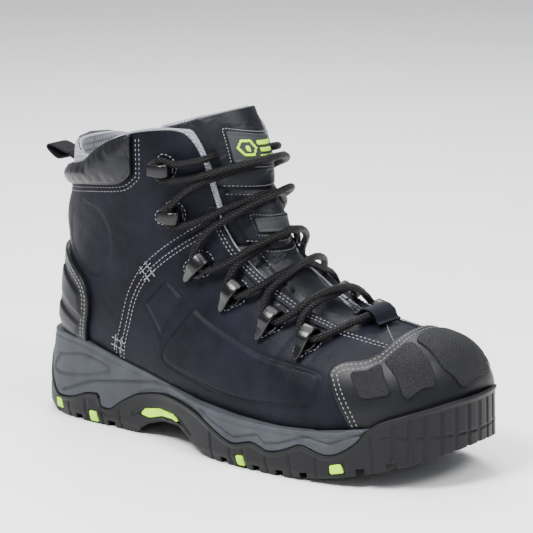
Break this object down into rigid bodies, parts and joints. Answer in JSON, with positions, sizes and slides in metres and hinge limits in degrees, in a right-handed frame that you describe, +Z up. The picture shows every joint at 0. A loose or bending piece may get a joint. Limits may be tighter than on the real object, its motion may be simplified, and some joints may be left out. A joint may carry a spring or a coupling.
{
  "type": "safety work boot",
  "caption": "Right ankle-height laced safety work boot with composite toe cap, moulded guards, padded collar and tongue, speed lacing and a lugged sole.",
  "frame": {"origin": "centre of the bounding box, on the floor under the sole", "axes": "+X towards the medial (inner) side, -Y towards the toe, +Y towards the heel, +Z up"},
  "size_m": [0.1116, 0.3064, 0.1962],
  "materials": {
    "black_leather": "oiled nubuck, matt, light grey stitching",
    "collar_leather": "smooth soft leather, low sheen",
    "grey_mesh": "knitted spacer mesh",
    "foam": "cloth covered foam",
    "guard_rubber": "fine grained moulded rubber",
    "outsole_rubber": "matt moulded rubber",
    "midsole_foam": "matt moulded polyurethane",
    "lime_plastic": "glossy lime rubber",
    "black_plastic": "glossy moulded nylon",
    "lace_cord": "round braided cord with grey flecks",
    "fibre_board": "pressed fibre board",
    "composite": "moulded composite",
    "grey_patch": "matt grey rubber patch",
    "webbing": "woven polyester tape"
  },
  "bodies": {
    "boot": {"bootlace": "lace_cord", "lace_hook_lateral_1": "black_plastic", "lace_hook_lateral_2": "black_plastic", "lace_loop_lateral_3": "black_plastic", "lace_loop_lateral_4": "black_plastic", "lace_loop_lateral_5": "black_plastic", "lace_loop_lateral_6": "black_plastic", "lace_hook_medial_1": "black_plastic", "lace_hook_medial_2": "black_plastic", "lace_loop_medial_3": "black_plastic", "lace_loop_medial_4": "black_plastic", "lace_loop_medial_5": "black_plastic", "lace_loop_medial_6": "black_plastic", "lace_keeper": "black_leather", "quarter_lateral": "black_leather", "shaft_panel_lateral": "black_leather", "quarter_medial": "black_leather", "shaft_panel_medial": "black_leather", "vamp": "black_leather", "heel_stiffener": "fibre_board", "ankle_padding": "foam", "safety_toe_cap": "composite", "lining": "grey_mesh", "toe_lining": "grey_mesh", "insole_board": "fibre_board", "penetration_plate": "composite", "shank": "composite", "outsole": "outsole_rubber", "heel_rear_insert_lateral": "lime_plastic", "heel_rear_insert_medial": "lime_plastic", "heel_front_insert_lateral": "lime_plastic", "heel_front_insert_medial": "lime_plastic", "arch_insert_lateral": "lime_plastic", "arch_insert_medial": "lime_plastic", "ball_rear_insert_lateral": "lime_plastic", "ball_rear_insert_medial": "lime_plastic", "ball_front_insert_lateral": "lime_plastic", "ball_front_insert_medial": "lime_plastic", "midsole": "midsole_foam", "toe_guard": "guard_rubber", "heel_guard": "guard_rubber", "collar_foam": "foam", "collar_cover": "collar_leather", "eyestay_lateral": "black_leather", "eyestay_medial": "black_leather"},
    "tongue": {"tongue_cover": "black_leather", "tongue_padding": "foam", "tongue_lining": "grey_mesh", "tongue_label": "grey_patch", "tongue_badge": "grey_patch", "label_emblem": "lime_plastic"},
    "pull_tab": {"pull_loop": "webbing"},
    "footbed": {"insole": "foam"}
  },
  "joints": [
    {"name": "tongue_tilt", "type": "hinge", "parent": "boot", "child": "tongue", "pos_m": [0, -0.08315, 0.0775], "axis": [-1, 0, 0], "range_deg": [0, 5]},
    {"name": "pull_tab_swing", "type": "hinge", "parent": "boot", "child": "pull_tab", "pos_m": [0, 0.13445, 0.1542], "axis": [1, 0, 0], "range_deg": [-20, 35]},
    {"name": "footbed_lift", "type": "hinge", "parent": "boot", "child": "footbed", "pos_m": [0, -0.13165, 0.0248], "axis": [1, 0, 0], "range_deg": [0, 7]}
  ]
}
